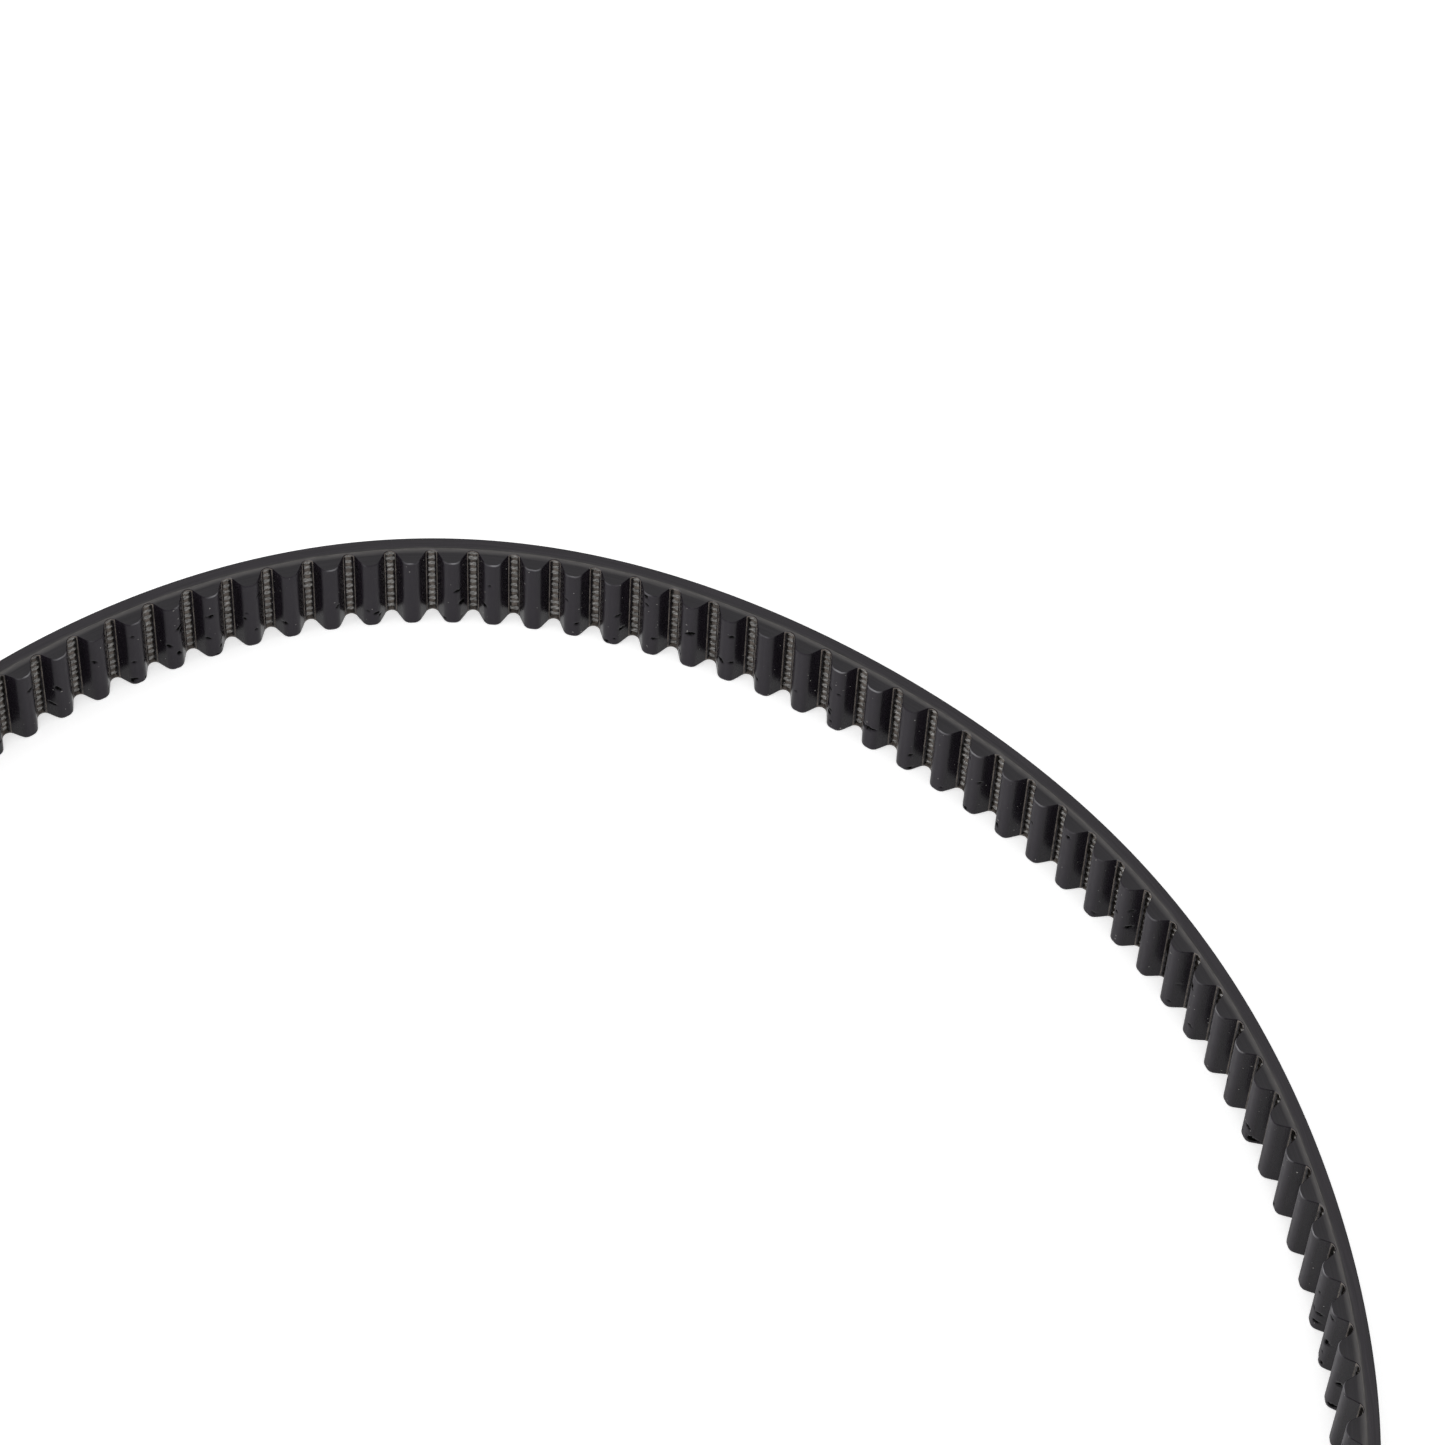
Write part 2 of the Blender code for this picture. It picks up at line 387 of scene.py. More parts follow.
# The slot is a little wider at each cord, by SCALLOP. Its walls wander by noise of the strength RAGGED,
# which has a step from groove to groove, cells in each millimetre, and a layer of its own.
RAGGED = 0.12
RAGGED_STEP = 3.7
RAGGED_CELLS = 0.9
RAGGED_LAYER = 0.5
SCALLOP = 0.08


def ragged_patches():
    """Middle and reach of the patch in each groove that has one, more often near the upper edge."""
    dice = random.Random(PATCH_SEED)
    patches = {}
    for groove in range(TEETH):
        if dice.random() < PATCH_SHARE:
            upper = dice.random() < UPPER_SHARE
            middle = dice.uniform(*(UPPER_MIDDLES if upper else OTHER_MIDDLES))
            patches[groove] = (middle * WIDTH, dice.uniform(*PATCH_REACHES_MM) * MM)
    return patches


PATCHES = ragged_patches()


def slot_spread(groove, side, height):
    """How much wider than usual the slot is at a height, as a factor."""
    wobble = noise.noise(Vector((groove * RAGGED_STEP + side, height / MM * RAGGED_CELLS, RAGGED_LAYER)))
    scallop = -math.cos(2 * math.pi * (height - WIDTH / 2) / CORD_SPACING)
    spread = 1.0 + RAGGED * wobble + SCALLOP * scallop
    if groove % TEETH in PATCHES:
        middle, reach = PATCHES[groove % TEETH]
        away = abs(height - middle) / reach
        if away < 1:
            spread += (PATCH_SPREAD - spread) * (1 - away**4)
    return spread


def toothed_point(column, row):
    """Place of a column of the toothed face in a row, with its belt coordinates and nick."""
    rim = TIP_RIM if column.part == "tip" else RIM
    height = row.level + row.rim_share * rim
    draw_in = row.draw_in * rim
    distance = column.distance
    rise = column.rail + (column.slot - column.rail) * row.slot_share
    if column.part == "slot" and row.slot_share:
        distance *= slot_spread(column.groove, column.side, height)
        if column.slot > 0:
            rise = root_rise(distance)
    distance -= column.lean.x * draw_in
    rise -= column.lean.y * draw_in
    facet = column.groove - 1 if column.side < 0 else column.groove
    run = -column.side * (PITCH / 2 - distance)
    share, depth = nick_share(facet, run, height) if column.part in ("tip", "flank") else (0.0, 0.0)
    rise -= depth
    if column.side == 0:
        spot = corner(column.groove, LAND - rise)
    else:
        spot = facet_point(facet, run, LAND - rise)
    station = column.groove + column.side * distance / PITCH
    return spot.to_3d() + Vector((0, 0, height)), station, LAND - rise, share


# Building

# Places of the finishes in a layer's list of materials
MOULDED, CUT, LIP, FLOOR, PIT = range(5)
SLIT_CORD = 1


def wrapped_grid(shape, around, lengthwise):
    """A new grid of quads whose corners are whole numbers: x counts round the piece, y along it."""
    matrix = Matrix.Diagonal((around, lengthwise, 1, 1)) @ Matrix.Translation((0.5, 0.5, 0.0))
    grid = bmesh.ops.create_grid(
        shape, x_segments=around, y_segments=lengthwise, size=0.5, matrix=matrix
    )
    return grid["verts"]


def close_up(shape):
    """Weld the wrap, fill the open ends and turn the faces outwards. Returns the fills."""
    bmesh.ops.remove_doubles(shape, verts=shape.verts, dist=WELD_DISTANCE)
    rims = [edge for edge in shape.edges if edge.is_boundary]
    fills = bmesh.ops.holes_fill(shape, edges=rims, sides=0)["faces"]
    bmesh.ops.recalc_face_normals(shape, faces=shape.faces)
    return fills


def finished_piece(name, shape, materials):
    """Make a built shape an object in the scene, shaded smooth but for its sharp edges."""
    mesh = bpy.data.meshes.new(name)
    shape.to_mesh(mesh)
    shape.free()
    for material in materials:
        mesh.materials.append(material)
    mesh.shade_smooth()
    mesh.set_sharp_from_angle(angle=SHARP_ANGLE)
    piece = bpy.data.objects.new(name, mesh)
    bpy.context.scene.collection.objects.link(piece)
    return piece


def belt_layers(shape):
    """Attributes that the finishes read: place in the belt in millimetres, nicks and painted highlights
    on the rims.
    """
    place = shape.verts.layers.float_vector.new("belt_mm")
    return place, shape.verts.layers.float.new("nick"), shape.verts.layers.float.new("rim_highlight")


def wall_stations(first, last):
    """Stations of a smooth wall from the middle of one tooth to the middle of another."""
    steps = (last - first) * BACK_STEPS
    return [first + 0.5 + step / BACK_STEPS for step in range(steps + 1)]


def rim_highlight_share(column, row):
    """How much painted highlight a point of the rim gets: most at the middle of a tip, and some in the
    grooves.
    """
    if column.part == "flank" or not (row.rim_share or row.draw_in):
        return 0.0
    if column.part != "tip":
        return GROOVE_RIM_HIGHLIGHT
    return max(0.0, 1.0 - ((PITCH / 2 - column.distance) / RIM_HIGHLIGHT_REACH) ** 2)


def groove_finish(parts, near, far):
    """Finish of a face in the groove: its floor, its lips, or the end rails, which look like lips."""
    if not parts <= {"lip", "slot"} or near.draw_in or far.draw_in:
        return MOULDED
    if near.slot_share and far.slot_share:
        return {("lip",): LIP, ("slot",): FLOOR}.get(tuple(parts), MOULDED)
    return LIP


def teeth_piece(name, first, last, materials):
    """The toothed layer of a span: a grid wrapped round the toothed face and the parting line."""
    toothed = tooth_columns(first, last)
    stations = wall_stations(first, last)[::-1]
    shape = bmesh.new()
    belt_mm, nick, rim_highlight = belt_layers(shape)
    around = len(toothed) + len(stations)
    verts = wrapped_grid(shape, around, len(ROWS) - 1)
    for face in shape.faces:
        column = round(min(vert.co.x for vert in face.verts))
        row = round(min(vert.co.y for vert in face.verts))
        if column < len(toothed) - 1:
            parts = {toothed[column].part, toothed[column + 1].part}
            face.material_index = groove_finish(parts, ROWS[row], ROWS[row + 1])
    for vert in verts:
        column = round(vert.co.x) % around
        row = ROWS[round(vert.co.y)]
        if column < len(toothed):
            spot, station, offset, vert[nick] = toothed_point(toothed[column], row)
            # Share of the painted highlight along the rim
            vert[rim_highlight] = rim_highlight_share(toothed[column], row)
        else:
            station = stations[column - len(toothed)]
            offset = PARTING
            spot = belt_point(station, offset).to_3d()
            spot.z = row.level + row.rim_share * RIM
        vert.co = spot
        vert[belt_mm] = (station * PITCH / MM, offset / MM, spot.z / MM)
    for face in shape.faces:
        # Faces deep in a nick get the pit finish, which paints the shade inside it
        if min(vert[nick] for vert in face.verts) > PIT_SHARE:
            face.material_index = PIT
    for face in close_up(shape):
        face.material_index = CUT
    return finished_piece(name, shape, materials)


def back_piece(name, first, last, materials):
    """The smooth back of a span: a grid wrapped round its outer face and the parting line."""
    stations = wall_stations(first, last)
    shape = bmesh.new()
    belt_mm = belt_layers(shape)[0]
    around = 2 * len(stations)
    for vert in wrapped_grid(shape, around, len(ROWS) - 1):
        column = round(vert.co.x) % around
        row = ROWS[round(vert.co.y)]
        outer = column < len(stations)
        station = stations[column] if outer else stations[around - 1 - column]
        offset = BACK_OUTER - row.draw_in * RIM if outer else PARTING
        spot = belt_point(station, offset)
        height = row.level + row.rim_share * RIM
        vert.co = (spot.x, spot.y, height)
        vert[belt_mm] = (station * PITCH / MM, offset / MM, height / MM)
    for face in close_up(shape):
        face.material_index = CUT
    return finished_piece(name, shape, materials)


# Places along a cord where it has a ring of points: close together where a slot bares it
BARE_STEPS = 4
BARE_STEP = 0.22 * MM
HIDDEN_STEPS = 7

# Noise along the cords: its cells in each tooth, its step from cord to cord, and its layer
SWAY_NOISE = (0.9, 5.1, 2.0)
LIFT_NOISE = (0.7, 4.3, 9.0)
SWELL_NOISE = (1.3, 6.7, 5.0)
FRAY_NOISE = (2.3, 8.0, 4.0)


def cord_stations(first, last):
    """Stations of a cord's rings from the middle of one tooth to the middle of another."""
    bare_end = BARE_STEPS * BARE_STEP / PITCH
    stations = [first + 0.5]
    for groove in range(first + 1, last + 1):
        stations += [groove + step * BARE_STEP / PITCH for step in range(-BARE_STEPS, BARE_STEPS + 1)]
        hidden = 1 - 2 * bare_end
        stations += [groove + bare_end + hidden * step / HIDDEN_STEPS for step in range(1, HIDDEN_STEPS)]
    return [station for station in stations if station < last + 0.5] + [last + 0.5]


def cord_noise(sizes, station, cord):
    """Noise at a station of a cord, from -1 to 1."""
    cells, step, layer = sizes
    return noise.noise(Vector((station * cells, cord * step, layer)))


def cord_centre(cord, station):
    """Centre line of a cord, and its thickness as a factor: it lies a little unevenly in the mould."""
    sway = cord_noise(SWAY_NOISE, station, cord)
    lift = cord_noise(LIFT_NOISE, station, cord)
    swell = cord_noise(SWELL_NOISE, station, cord)
    spot = belt_point(station, CORD_LINE + lift * CORD_LIFT)
    height = WIDTH / 2 + (cord - (CORD_COUNT - 1) / 2) * CORD_SPACING + sway * CORD_SWAY
    return spot, height, 1 + swell * CORD_SWELL


def cord_tube(shape, layers, cord, stations):
    """One turn of twisted cord over a span, its strands wound round each other."""
    belt_mm, lay_shade, cover = layers
    for vert in wrapped_grid(shape, CORD_SIDES, len(stations) - 1):
        station = stations[round(vert.co.y)]
        turn = 2 * math.pi * (round(vert.co.x) % CORD_SIDES) / CORD_SIDES
        twist = 2 * math.pi * station * PITCH / CORD_LAY + cord
        strand = abs(math.cos(CORD_STRANDS * (turn - twist) / 2))
        spot, height, swell = cord_centre(cord, station)
        radius = CORD_RADIUS * swell * (1 - STRAND_RELIEF + STRAND_RELIEF * strand)
        spot = spot + outward(math.floor(station)) * (math.cos(turn) * radius)
        height += math.sin(turn) * radius
        vert.co = (spot.x, spot.y, height)
        vert[belt_mm] = (station * PITCH / MM, cord, height / MM)
        # Share of the strand's crown, which sets the painted shade in its lay
        vert[lay_shade] = strand
        groove = round(station)
        wall = SLOT_WALL * slot_spread(groove, 1 if station > groove else -1, height)
        vert[cover] = min(1.0, abs(station - groove) * PITCH / wall)


def edge_cord_tube(shape, layers, upper, stations):
    """The slit outermost turn, lying flush in a cut edge with its crown just proud of it."""
    belt_mm = layers[0]
    for vert in wrapped_grid(shape, EDGE_CORD_SIDES, len(stations) - 1):
        station = stations[round(vert.co.y)]
        turn = 2 * math.pi * (round(vert.co.x) % EDGE_CORD_SIDES) / EDGE_CORD_SIDES
        fray = cord_noise(FRAY_NOISE, station, upper)
        across = math.cos(turn) * EDGE_CORD_HALF_WIDTH * (1 + EDGE_CORD_FRAY * fray)
        proud = EDGE_CORD_PROUD * (1 + EDGE_CORD_RISE * fray)
        depth = EDGE_CORD_DEPTH - proud - math.sin(turn) * EDGE_CORD_DEPTH
        spot = belt_point(station, EDGE_CORD_LINE + across)
        height = WIDTH - depth if upper else depth
        vert.co = (spot.x, spot.y, height)
        vert[belt_mm] = (station * PITCH / MM, across / MM, height / MM)


def cords_piece(name, first, last, materials):
    """Every cord turn of a span, and the slit turns in both cut edges."""
    stations = cord_stations(first, last)
    shape = bmesh.new()
    attributes = shape.verts.layers
    belt_mm = attributes.float_vector.new("belt_mm")
    layers = belt_mm, attributes.float.new("strand"), attributes.float.new("cover")
    for cord in range(CORD_COUNT):
        cord_tube(shape, layers, cord, stations)
    wound = len(shape.faces)
    for upper in (False, True):
        edge_cord_tube(shape, layers, upper, wall_stations(first, last))
    for face in list(shape.faces)[wound:]:
        face.material_index = SLIT_CORD
    close_up(shape)
    return finished_piece(name, shape, materials)


# Finishes

# Sizes of their grain in millimetres along, through and across the belt. On the wound cords the middle
# one counts cords instead.
MOULD_MARKS = (0.5, 4.0, 12.0)
MOULD_BLOOM = (1.6, 1.6, 2.4)
MOULD_GRAIN = (0.25, 0.25, 0.9)
RIM_HIGHLIGHT_PATCHES = (5.0, 5.0, 3.0)
DUST_SPECKS = (0.55, 0.55, 0.55)
KNIFE_LINES = (14.0, 0.28, 2.0)
KNIFE_DUST = (4.0, 0.6, 1.0)
LIP_BLOTCHES = (0.8, 0.8, 1.8)
PIT_TEARS = (0.4, 0.4, 0.4)
SLOT_STAINS = (1.2, 1.2, 1.6)
CORD_BLOTCHES = (1.1, 1.0, 1.3)
CORD_SMEARS = (0.5, 1.0, 0.4)
CORD_YARN = (0.5, 1.0, 0.18)
SLIT_FIBRES = (2.2, 0.25, 0.5)

# The tooth tips are more matt than the flanks, down to this depth in millimetres
MATT_TIP_DEPTH = 0.9
MATT_TIP_ROUGHNESS = 0.22

# How far noise moves the edge of the knife's dust, in millimetres
DUST_FLUFF = 0.6

# Index of refraction of every finish
FINISH_IOR = 1.5


def linear(colour_hex):
    """Linear colour of an sRGB hex value."""
    channels = [int(colour_hex[place:place + 2], 16) / 255 for place in (1, 3, 5)]
    return [c / 12.92 if c <= 0.04045 else ((c + 0.055) / 1.055) ** 2.4 for c in channels] + [1.0]


def add_node(tree, kind, inputs=None, **settings):
    """Add a node with its settings. An input is a value, or a socket to link to."""
    node = tree.nodes.new(kind)
    for name, value in settings.items():
        setattr(node, name, value)
    for name, value in (inputs or {}).items():
        if isinstance(value, bpy.types.NodeSocket):
            tree.links.new(value, node.inputs[name])
        else:
            node.inputs[name].default_value = value
    return node


def new_finish(name, roughness, specular):
    material = bpy.data.materials.new(name)
    material.use_nodes = True
    shader = material.node_tree.nodes["Principled BSDF"]
    shader.inputs["Roughness"].default_value = roughness
    shader.inputs["IOR"].default_value = FINISH_IOR
    shader.inputs["Specular IOR Level"].default_value = specular
    return material, material.node_tree, shader


def stretched_noise(tree, sizes_mm, detail=2.0):
    """Noise in belt coordinates whose grain measures sizes_mm along, through and across the belt."""
    place = add_node(tree, "ShaderNodeAttribute", attribute_name="belt_mm")
    scale = tuple(1 / size for size in sizes_mm)
    grain = add_node(
        tree, "ShaderNodeVectorMath", {0: place.outputs["Vector"], 1: scale}, operation="MULTIPLY"
    )
    settings = {"Vector": grain.outputs[0], "Scale": 1.0, "Detail": detail}
    return add_node(tree, "ShaderNodeTexNoise", settings)


def mixed_colour(tree, share, low_hex, high_hex, low=0.3, high=0.7):
    """Colour between two hex values, as a noise goes from low to high."""
    ramp = add_node(tree, "ShaderNodeValToRGB", {"Fac": share})
    ramp.color_ramp.elements[0].position = low
    ramp.color_ramp.elements[0].color = linear(low_hex)
    ramp.color_ramp.elements[1].position = high
    ramp.color_ramp.elements[1].color = linear(high_hex)
    return ramp.outputs["Color"]


def add_bump(tree, shader, height, depth_mm, strength):
    settings = {"Height": height, "Distance": depth_mm * MM, "Strength": strength}
    bump = add_node(tree, "ShaderNodeBump", settings)
    tree.links.new(bump.outputs["Normal"], shader.inputs["Normal"])


def moulded_polyurethane(name, dark_hex, light_hex):
    """Cast polyurethane: near black and half glossy from the mould, with faint marks across the width.

    The tooth tips are paler and more matt, with painted highlights along their rims. Nicks are painted
    near black as the shade inside the pits, and a few pale specks of dust lie all over.
    """
    material, tree, shader = new_finish(name, roughness=0.26, specular=0.08)
    marks = stretched_noise(tree, MOULD_MARKS, detail=3.0)
    colour = mixed_colour(tree, marks.outputs["Fac"], dark_hex, light_hex)
    place = add_node(tree, "ShaderNodeAttribute", attribute_name="belt_mm")
    offset = add_node(tree, "ShaderNodeSeparateXYZ", {0: place.outputs["Vector"]})
    matt = add_node(
        tree,
        "ShaderNodeMapRange",
        {
            "Value": offset.outputs["Y"],
            "From Min": TIP_LINE / MM,
            "From Max": TIP_LINE / MM + MATT_TIP_DEPTH,
            "To Min": 1.0,
            "To Max": 0.0,
        },
    )
    tipped = add_node(
        tree,
        "ShaderNodeMix",
        {0: matt.outputs["Result"], 6: colour, 7: linear("#2a272c")},
        data_type="RGBA",
    )
    # Painted highlight along the rims, broken into patches by noise
    rim_highlight = add_node(tree, "ShaderNodeAttribute", attribute_name="rim_highlight")
    highlight_noise = stretched_noise(tree, RIM_HIGHLIGHT_PATCHES)
    highlight_patches = add_node(
        tree, "ShaderNodeMapRange", {"Value": highlight_noise.outputs["Fac"], "From Min": 0.42, "From Max": 0.62}
    )
    patchy_highlight = add_node(
        tree,
        "ShaderNodeMath",
        {0: rim_highlight.outputs["Fac"], 1: highlight_patches.outputs["Result"]},
        operation="MULTIPLY",
    )
    highlighted = add_node(
        tree,
        "ShaderNodeMix",
        {0: patchy_highlight.outputs[0], 6: tipped.outputs[2], 7: linear("#7d7c7f")},
        data_type="RGBA",
    )
    dust = stretched_noise(tree, DUST_SPECKS, detail=0.0)
    speck = add_node(
        tree, "ShaderNodeMapRange", {"Value": dust.outputs["Fac"], "From Min": 0.835, "From Max": 0.865}
    )
    dusty = add_node(
        tree,
        "ShaderNodeMix",
        {0: speck.outputs["Result"], 6: highlighted.outputs[2], 7: linear("#8d8b88")},
        data_type="RGBA",
    )
    # Nicks painted near black, as the shade inside the pits
    nick = add_node(tree, "ShaderNodeAttribute", attribute_name="nick")
    pit_shaded = add_node(
        tree,
        "ShaderNodeMix",
        {0: nick.outputs["Fac"], 6: dusty.outputs[2], 7: linear("#040404")},
        data_type="RGBA",
    )
    tree.links.new(pit_shaded.outputs[2], shader.inputs["Base Color"])
    bloom = stretched_noise(tree, MOULD_BLOOM, detail=3.0)
    gloss = add_node(
        tree, "ShaderNodeMapRange", {"Value": bloom.outputs["Fac"], "To Min": 0.20, "To Max": 0.32}
    )
    rough = add_node(
        tree,
        "ShaderNodeMath",
        {0: matt.outputs["Result"], 1: MATT_TIP_ROUGHNESS, 2: gloss.outputs["Result"]},
        operation="MULTIPLY_ADD",
    )
    tree.links.new(rough.outputs[0], shader.inputs["Roughness"])
    grain = stretched_noise(tree, MOULD_GRAIN)
    add_bump(tree, shader, grain.outputs["Fac"], depth_mm=0.05, strength=0.25)
    return material


def cut_polyurethane(name, dark_hex, light_hex):
    """Slit edge of the polyurethane: matt charcoal, with the knife's fine lines along the belt."""
    material, tree, shader = new_finish(name, roughness=0.6, specular=0.22)
    lines = stretched_noise(tree, KNIFE_LINES, detail=3.0)
    charcoal = mixed_colour(tree, lines.outputs["Fac"], dark_hex, light_hex)
    place = add_node(tree, "ShaderNodeAttribute", attribute_name="belt_mm")
    offset = add_node(tree, "ShaderNodeSeparateXYZ", {0: place.outputs["Vector"]})
    away = add_node(
        tree, "ShaderNodeMath", {0: offset.outputs["Y"], 1: DUST_LINE / MM}, operation="SUBTRACT"
    )
    apart = add_node(tree, "ShaderNodeMath", {0: away.outputs[0]}, operation="ABSOLUTE")
    fluff = stretched_noise(tree, KNIFE_DUST, detail=3.0)
    reach = add_node(
        tree,
        "ShaderNodeMath",
        {0: fluff.outputs["Fac"], 1: DUST_FLUFF, 2: apart.outputs[0]},
        operation="MULTIPLY_ADD",
    )
    smear = add_node(
        tree,
        "ShaderNodeMapRange",
        {"Value": reach.outputs[0], "From Min": 0.30, "From Max": 1.15, "To Min": 1.0, "To Max": 0.0},
    )
    dusted = add_node(
        tree,
        "ShaderNodeMix",
        {0: smear.outputs["Result"], 6: charcoal, 7: linear("#4a4848")},
        data_type="RGBA",
    )
    tree.links.new(dusted.outputs[2], shader.inputs["Base Color"])
    add_bump(tree, shader, lines.outputs["Fac"], depth_mm=0.06, strength=0.35)
    return material


def lip_film():
    """Thin film of polyurethane over the cords' dust: dull grey-brown along the slots."""
    material, tree, shader = new_finish("polyurethane_lip_film", roughness=0.55, specular=0.3)
    film = stretched_noise(tree, LIP_BLOTCHES, detail=4.0)
    colour = mixed_colour(tree, film.outputs["Fac"], "#3a3532", "#726a64")
    tree.links.new(colour, shader.inputs["Base Color"])
    add_bump(tree, shader, film.outputs["Fac"], depth_mm=0.06, strength=0.4)
    return material


def painted_shade_pit():
    """Polyurethane in the nicks, painted black as the shade inside the pits: rough, with no sheen."""
    material, tree, shader = new_finish("polyurethane_pit_painted_shade", roughness=0.9, specular=0.0)
    tear = stretched_noise(tree, PIT_TEARS, detail=3.0)
    colour = mixed_colour(tree, tear.outputs["Fac"], "#040404", "#101010")
    tree.links.new(colour, shader.inputs["Base Color"])
    add_bump(tree, shader, tear.outputs["Fac"], depth_mm=0.1, strength=0.5)
    return material


def slot_floor():
    """Floor of the slots: dusted grey-brown by the cords in its middle, and painted black along its
    walls as shade.
    """
    material, tree, shader = new_finish("polyurethane_slot_floor_painted_shade", roughness=0.6, specular=0.2)
    stain = stretched_noise(tree, SLOT_STAINS, detail=3.0)
    dusty = mixed_colour(tree, stain.outputs["Fac"], "#443e3a", "#7a716a")
    place = add_node(tree, "ShaderNodeAttribute", attribute_name="belt_mm")
    along_mm = add_node(tree, "ShaderNodeSeparateXYZ", {0: place.outputs["Vector"]})
    aside = add_node(
        tree, "ShaderNodeMath", {0: along_mm.outputs["X"], 1: PITCH / 2 / MM}, operation="PINGPONG"
    )
    # Painted shade: the floor turns black towards the slot's walls
    wall = add_node(
        tree, "ShaderNodeMapRange", {"Value": aside.outputs[0], "From Min": 0.42, "From Max": 0.70}
    )
    floor = add_node(
        tree,
        "ShaderNodeMix",
        {0: wall.outputs["Result"], 6: dusty, 7: linear("#171412")},
        data_type="RGBA",
    )
    tree.links.new(floor.outputs[2], shader.inputs["Base Color"])
    add_bump(tree, shader, stain.outputs["Fac"], depth_mm=0.08, strength=0.4)
    return material


def twisted_cord():
    """Twisted fibre cord: grey yarn, pale on the strands' crowns, with painted shade in their lay.

    Where the slot's wall covers a cord, a smear of polyurethane darkens it.
    """
    material, tree, shader = new_finish("twisted_fibre_cord", roughness=0.25, specular=0.8)
    blotch = stretched_noise(tree, CORD_BLOTCHES, detail=5.0)
    crown = mixed_colour(tree, blotch.outputs["Fac"], "#403e3b", "#9e9b97", low=0.36, high=0.74)
    strand = add_node(tree, "ShaderNodeAttribute", attribute_name="strand")
    # Painted shade in the creases between the strands
    lay_shade = add_node(tree, "ShaderNodeMapRange", {"Value": strand.outputs["Fac"], "From Max": 0.62})
    colour = add_node(
        tree,
        "ShaderNodeMix",
        {0: lay_shade.outputs["Result"], 6: linear("#342f2c"), 7: crown},
        data_type="RGBA",
    )
    cover = add_node(tree, "ShaderNodeAttribute", attribute_name="cover")
    ragged = stretched_noise(tree, CORD_SMEARS, detail=3.0)
    uneven = add_node(
        tree, "ShaderNodeMath", {0: cover.outputs["Fac"], 1: ragged.outputs["Fac"]}, operation="ADD"
    )
    smear = add_node(
        tree, "ShaderNodeMapRange", {"Value": uneven.outputs[0], "From Min": 1.02, "From Max": 1.60}
    )
    smeared = add_node(
        tree,
        "ShaderNodeMix",
        {0: smear.outputs["Result"], 6: colour.outputs[2], 7: linear("#2b2725")},
        data_type="RGBA",
    )
    tree.links.new(smeared.outputs[2], shader.inputs["Base Color"])
    yarn = stretched_noise(tree, CORD_YARN)
    add_bump(tree, shader, yarn.outputs["Fac"], depth_mm=0.06, strength=0.5)
    return material


def slit_cord():
    """Cord slit lengthwise by the knife: short grey fibres smeared with black."""
    material, tree, shader = new_finish("slit_fibre_cord", roughness=0.6, specular=0.35)
    fibre = stretched_noise(tree, SLIT_FIBRES, detail=3.0)
    colour = mixed_colour(tree, fibre.outputs["Fac"], "#353332", "#53504e")
    tree.links.new(colour, shader.inputs["Base Color"])
    add_bump(tree, shader, fibre.outputs["Fac"], depth_mm=0.06, strength=0.4)
    return material


# The loop's spans


def section_cuts():
    """Grooves where the solids are cut, from the seam once round and back to it."""
    grooves = range(SEAM_GROOVE, SEAM_GROOVE + TEETH + 1, SECTION_TEETH)
    return [groove for groove in grooves if groove % TEETH not in WHOLE_DIAGONALS]


def dress_belt():
    """Replace every section's solids by spans that reach across the hinges between them."""
    tooth_finishes = [
        moulded_polyurethane("moulded_polyurethane_teeth", "#110e13", "#1a161c"),
        cut_polyurethane("cut_polyurethane_teeth", "#1c1b1d", "#262427"),
        lip_film(),
        slot_floor(),
        painted_shade_pit(),
    ]
    back_finishes = [
        moulded_polyurethane("ground_polyurethane_back", "#161617", "#1f1f20"),
        cut_polyurethane("cut_polyurethane_back", "#232124", "#2f2c30"),
    ]
    cord_finishes = [twisted_cord(), slit_cord()]

    cuts = section_cuts()
    middles = [(first + last) // 2 for first, last in zip(cuts, cuts[1:])]
    sections = len(middles)
    for number in range(1, sections + 1):
        following = number % sections + 1
        first = middles[number - 1]
        last = middles[number] if number < sections else middles[0] + TEETH
        label = f"{number:02d}_{following:02d}"
        pieces = {
            "back": back_piece(f"smooth_back_{label}", first, last, back_finishes),
            "teeth": teeth_piece(f"moulded_teeth_{label}", first, last, tooth_finishes),
            "cords": cords_piece(f"tension_cords_{label}", first, last, cord_finishes),
        }
        for layer, piece in pieces.items():
            if number == sections:
                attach(piece, f"section_{number:02d}")
                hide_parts(f"{layer}_{number:02d}")
                continue
            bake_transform(piece)
            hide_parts(f"{layer}_{number:02d}", f"{layer}_{following:02d}")


# Stage

# The floor lies clear of the slit cord in the lower edge
FLOOR_LEVEL = -EDGE_CORD_PROUD * 2
FLOOR_HALF = 6.0
FLOOR_LIFT = 0.45
CAMERA_TARGET = Vector((-79.86, 102.84, 10.0)) * MM
CAMERA_DISTANCE = 1052.34 * MM
CAMERA_AZIMUTH = math.radians(51.94)
CAMERA_ELEVATION = math.radians(56.67)
CAMERA_ROLL = math.radians(3.43)
CAMERA_SENSOR = 36.0
CAMERA_LENS = 138.30
CAMERA_CLIP_END = 50.0


def seen_rays(tree):
    """1 for rays that show the background: the camera's, and those of reflections and clear pieces."""
    rays = add_node(tree, "ShaderNodeLightPath")
    looks = add_node(
        tree,
        "ShaderNodeMath",
        {0: rays.outputs["Is Camera Ray"], 1: rays.outputs["Is Glossy Ray"]},
        operation="ADD",
    )
    seen = add_node(
        tree,
        "ShaderNodeMath",
        {0: looks.outputs[0], 1: rays.outputs["Is Transmission Ray"]},
        operation="ADD",
    )
    return seen.outputs[0]


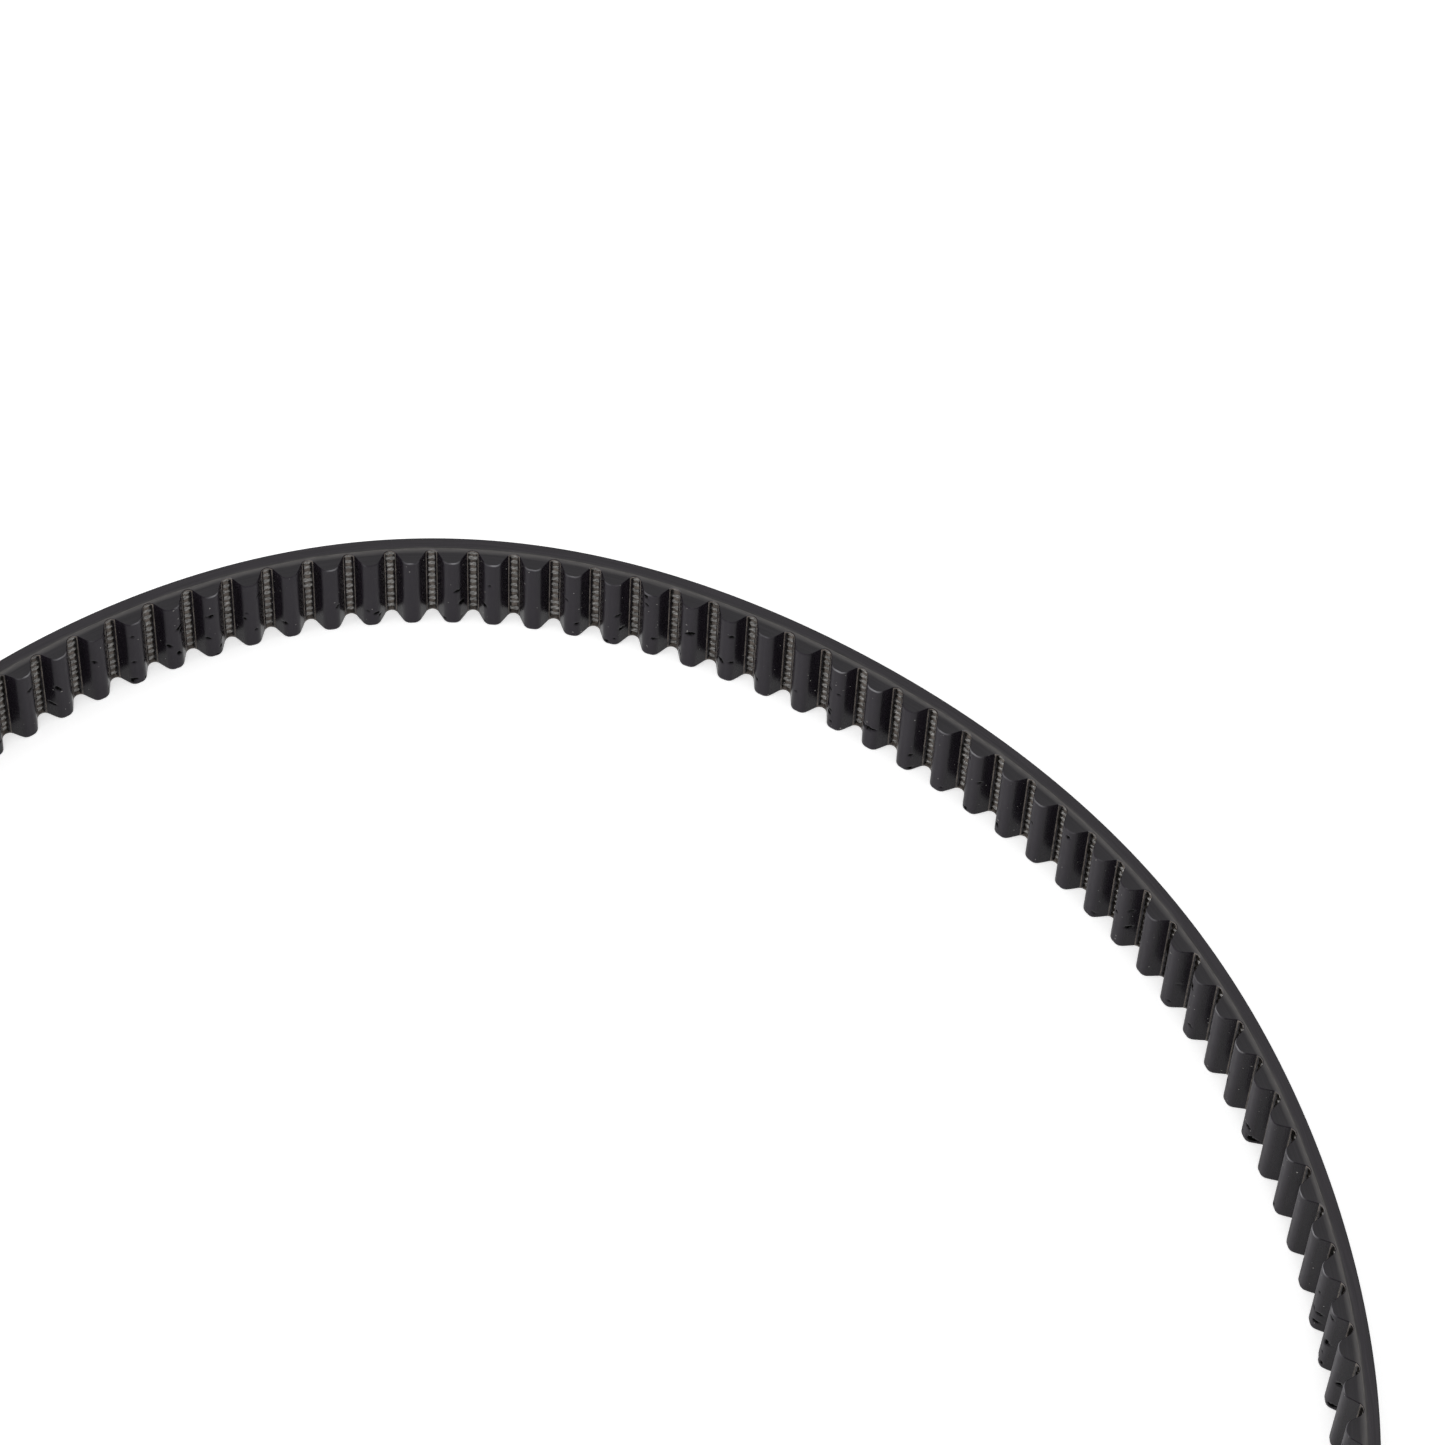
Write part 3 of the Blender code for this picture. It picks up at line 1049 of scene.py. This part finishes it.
def lay_floor():
    """White floor just under the belt, lifted towards white where it is seen or reflected."""
    shape = bmesh.new()
    bmesh.ops.create_grid(shape, x_segments=1, y_segments=1, size=FLOOR_HALF)
    bmesh.ops.translate(shape, verts=shape.verts, vec=(0, 0, FLOOR_LEVEL))
    material, tree, shader = new_finish("white_floor", roughness=0.9, specular=0.1)
    shader.inputs["Base Color"].default_value = linear("#f1f1f1")
    shader.inputs["Emission Color"].default_value = (1, 1, 1, 1)
    lift = add_node(tree, "ShaderNodeMath", {0: seen_rays(tree), 1: FLOOR_LIFT}, operation="MULTIPLY")
    tree.links.new(lift.outputs[0], shader.inputs["Emission Strength"])
    finished_piece("floor", shape, [material])


def hang_lamp(name, place, aim, size, power):
    lamp = bpy.data.lights.new(name, "AREA")
    lamp.shape = "SQUARE"
    lamp.size = size
    lamp.energy = power
    holder = bpy.data.objects.new(name, lamp)
    holder.location = place
    holder.rotation_euler = (Vector(aim) - Vector(place)).to_track_quat("-Z", "Y").to_euler()
    bpy.context.scene.collection.objects.link(holder)


def light_world(strength):
    """Even white light from all round, which shows as plain white where it is seen."""
    world = bpy.data.worlds.new("soft_sky")
    world.use_nodes = True
    tree = world.node_tree
    sky = tree.nodes["Background"]
    sky.inputs["Color"].default_value = (1, 1, 1, 1)
    level = add_node(
        tree, "ShaderNodeMapRange", {"Value": seen_rays(tree), "To Min": strength, "To Max": 1.0}
    )
    tree.links.new(level.outputs["Result"], sky.inputs["Strength"])
    bpy.context.scene.world = world


def set_camera():
    data = bpy.data.cameras.new("camera")
    data.sensor_width = CAMERA_SENSOR
    data.lens = CAMERA_LENS
    data.clip_end = CAMERA_CLIP_END
    camera = bpy.data.objects.new("camera", data)
    level = math.cos(CAMERA_ELEVATION)
    across = -math.sin(CAMERA_AZIMUTH) * level
    ahead = math.cos(CAMERA_AZIMUTH) * level
    look = Vector((across, ahead, -math.sin(CAMERA_ELEVATION)))
    camera.location = CAMERA_TARGET - look * CAMERA_DISTANCE
    turn = look.to_track_quat("-Z", "Y").to_matrix().to_4x4() @ Matrix.Rotation(CAMERA_ROLL, 4, "Z")
    camera.rotation_euler = turn.to_euler()
    bpy.context.scene.collection.objects.link(camera)
    bpy.context.scene.camera = camera


dress_belt()
lay_floor()
light_world(strength=0.5)
hang_lamp("overhead_softbox", place=(0.2, 0.2, 1.4), aim=(0, 0, 0), size=1.6, power=8.0)
hang_lamp("front_softbox", place=(0.9, -0.9, 0.9), aim=(-0.05, 0.05, 0), size=1.2, power=5.0)
hang_lamp("left_softbox", place=(-0.5, -1.1, 0.65), aim=(0, 0, 0), size=0.7, power=6.5)
set_camera()
bpy.context.scene.view_settings.view_transform = "Standard"
